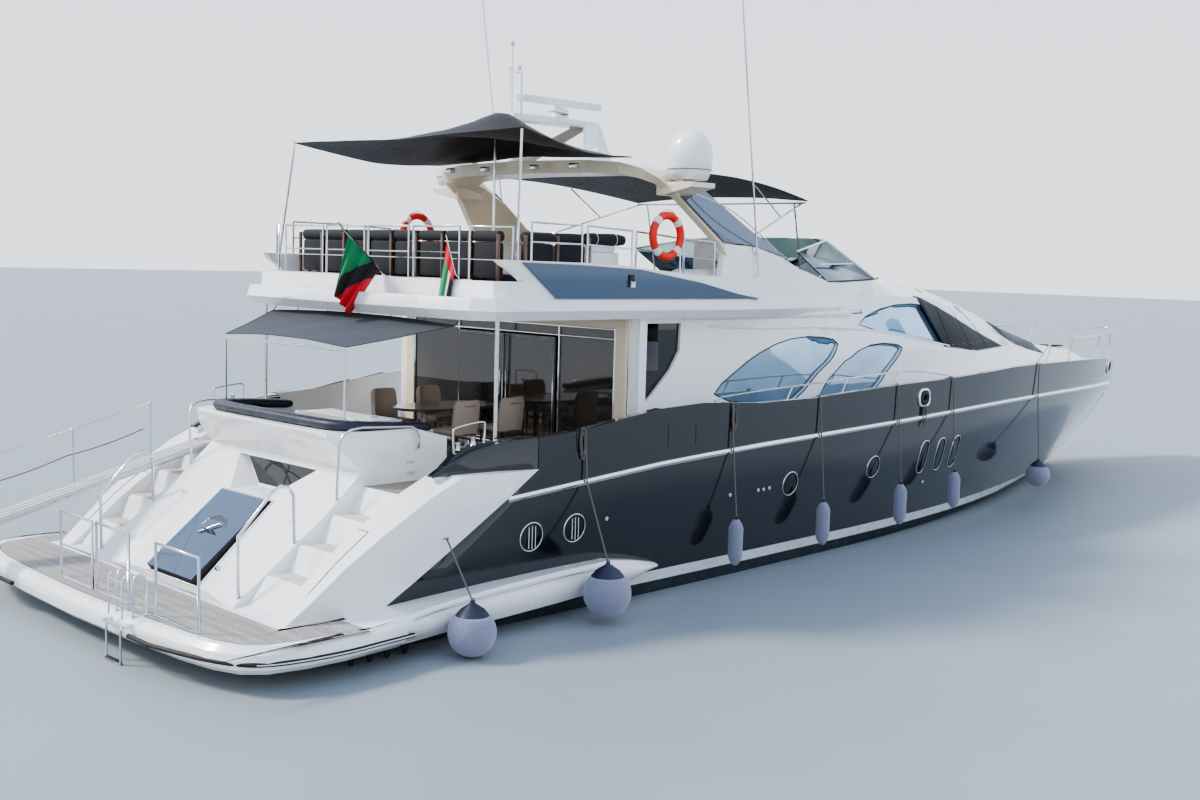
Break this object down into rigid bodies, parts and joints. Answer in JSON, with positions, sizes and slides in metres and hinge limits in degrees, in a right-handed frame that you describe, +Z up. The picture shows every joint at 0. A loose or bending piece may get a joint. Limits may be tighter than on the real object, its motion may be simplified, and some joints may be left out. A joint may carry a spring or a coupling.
{
  "type": "motor yacht",
  "caption": "Flybridge motor yacht with an open cockpit, transom stairs, a swim platform, a radar arch and awnings, afloat on its whole hull.",
  "frame": {"origin": "on the centreline amidships, at the waterline", "axes": "+X to the bow, +Y to port, +Z up"},
  "size_m": [30.0579, 8.18, 13.0705],
  "materials": {
    "topside": "metallic gloss",
    "slate": "metallic gloss",
    "gelcoat": "gloss",
    "cream": "satin",
    "chrome": "polished",
    "steel": "polished",
    "tint": "mirror tint",
    "dark_glass": "gloss",
    "cover": "matt",
    "canvas": "matt",
    "awning": "matt",
    "navy": "matt",
    "taupe": "matt",
    "buoy": "matt",
    "fender": "matt",
    "bronze": "satin",
    "flag": "matt",
    "aluminium": "brushed"
  },
  "bodies": {
    "yacht": {"hull": "topside", "rub_strake": "chrome", "stern_moulding": "gelcoat", "swim_platform": "gelcoat", "deckhouse": "gelcoat", "foredeck_trunk": "gelcoat", "saloon_window_port": "tint", "saloon_window_starboard": "tint", "pilothouse_glass": "tint", "windscreen_cover": "cover", "saloon_bulkhead": "dark_glass", "bulkhead_lights": "dark_glass", "cockpit_cushions": "navy", "dining_set": "taupe", "cockpit_pole_port": "steel", "cockpit_pole_starboard": "steel", "fly_deck": "gelcoat", "fly_coaming": "gelcoat", "fly_side_panel_port": "slate", "fly_side_panel_starboard": "slate", "fly_windscreen": "tint", "helm_console": "gelcoat", "fly_sofa": "canvas", "radar_arch": "cream", "arch_blade_port": "slate", "arch_blade_starboard": "slate", "mast": "gelcoat", "satellite_dome_port": "gelcoat", "satellite_dome_starboard": "gelcoat", "fly_awning": "canvas", "cockpit_awning": "awning", "bimini": "canvas", "cockpit_awning_hoop": "steel", "bimini_frame": "steel", "awning_centre_pole": "steel", "fly_rail": "steel", "bow_rail": "steel", "platform_rails": "steel", "stair_rail_port": "steel", "stair_rail_starboard": "steel", "coaming_rail_port": "steel", "coaming_rail_starboard": "steel", "windlass": "steel", "lifebuoy_port": "buoy", "lifebuoy_starboard": "buoy", "raft_canister_port": "gelcoat", "raft_canister_starboard": "gelcoat", "fenders": "fender", "ensign_staff": "steel", "ensign": "flag"},
    "transom_hatch": {"transom_hatch": "topside"},
    "saloon_door_port": {"saloon_door_port": "dark_glass"},
    "saloon_door_starboard": {"saloon_door_starboard": "dark_glass"},
    "radar_scanner": {"radar_scanner": "gelcoat"},
    "passerelle": {"passerelle": "aluminium"},
    "boarding_ladder": {"boarding_ladder": "steel"},
    "propeller_port": {"propeller_port": "bronze"},
    "propeller_starboard": {"propeller_starboard": "bronze"},
    "rudder_port": {"rudder_port": "bronze"},
    "rudder_starboard": {"rudder_starboard": "bronze"}
  },
  "joints": [
    {"name": "transom_hatch_hinge", "type": "hinge", "parent": "yacht", "child": "transom_hatch", "pos_m": [-12.3003, 0, 1.5902], "axis": [0, 1, 0], "range_deg": [0, 75]},
    {"name": "saloon_door_port_slide", "type": "slide", "parent": "yacht", "child": "saloon_door_port", "axis": [0, 1, 0], "range_m": [0, 1.1]},
    {"name": "saloon_door_starboard_slide", "type": "slide", "parent": "yacht", "child": "saloon_door_starboard", "axis": [0, -1, 0], "range_m": [0, 1.1]},
    {"name": "radar_scanner_spin", "type": "hinge", "parent": "yacht", "child": "radar_scanner", "pos_m": [-6.4, 0, 7.5], "axis": [0, 0, 1], "continuous": true},
    {"name": "passerelle_hinge", "type": "hinge", "parent": "yacht", "child": "passerelle", "pos_m": [-11.58, 2.37, 2.01], "axis": [0, 1, 0], "range_deg": [0, 60]},
    {"name": "boarding_ladder_hinge", "type": "hinge", "parent": "yacht", "child": "boarding_ladder", "pos_m": [-14.905, -1.425, 0.47], "axis": [0, 1, 0], "range_deg": [0, 95]},
    {"name": "propeller_port_spin", "type": "hinge", "parent": "yacht", "child": "propeller_port", "pos_m": [-12.115, 1.15, -1.37313], "axis": [0.9833, 0, 0.1819], "continuous": true},
    {"name": "propeller_starboard_spin", "type": "hinge", "parent": "yacht", "child": "propeller_starboard", "pos_m": [-12.115, -1.15, -1.37313], "axis": [0.9833, 0, 0.1819], "continuous": true},
    {"name": "rudder_port_steer", "type": "hinge", "parent": "yacht", "child": "rudder_port", "pos_m": [-12.62, 1.15, -1.3], "axis": [0, 0, 1], "range_deg": [-35, 35]},
    {"name": "rudder_starboard_steer", "type": "hinge", "parent": "yacht", "child": "rudder_starboard", "pos_m": [-12.62, -1.15, -1.3], "axis": [0, 0, 1], "range_deg": [-35, 35]}
  ],
  "couplings": [
    {"joint": "rudder_starboard_steer", "follows": "rudder_port_steer", "ratio": 1}
  ]
}
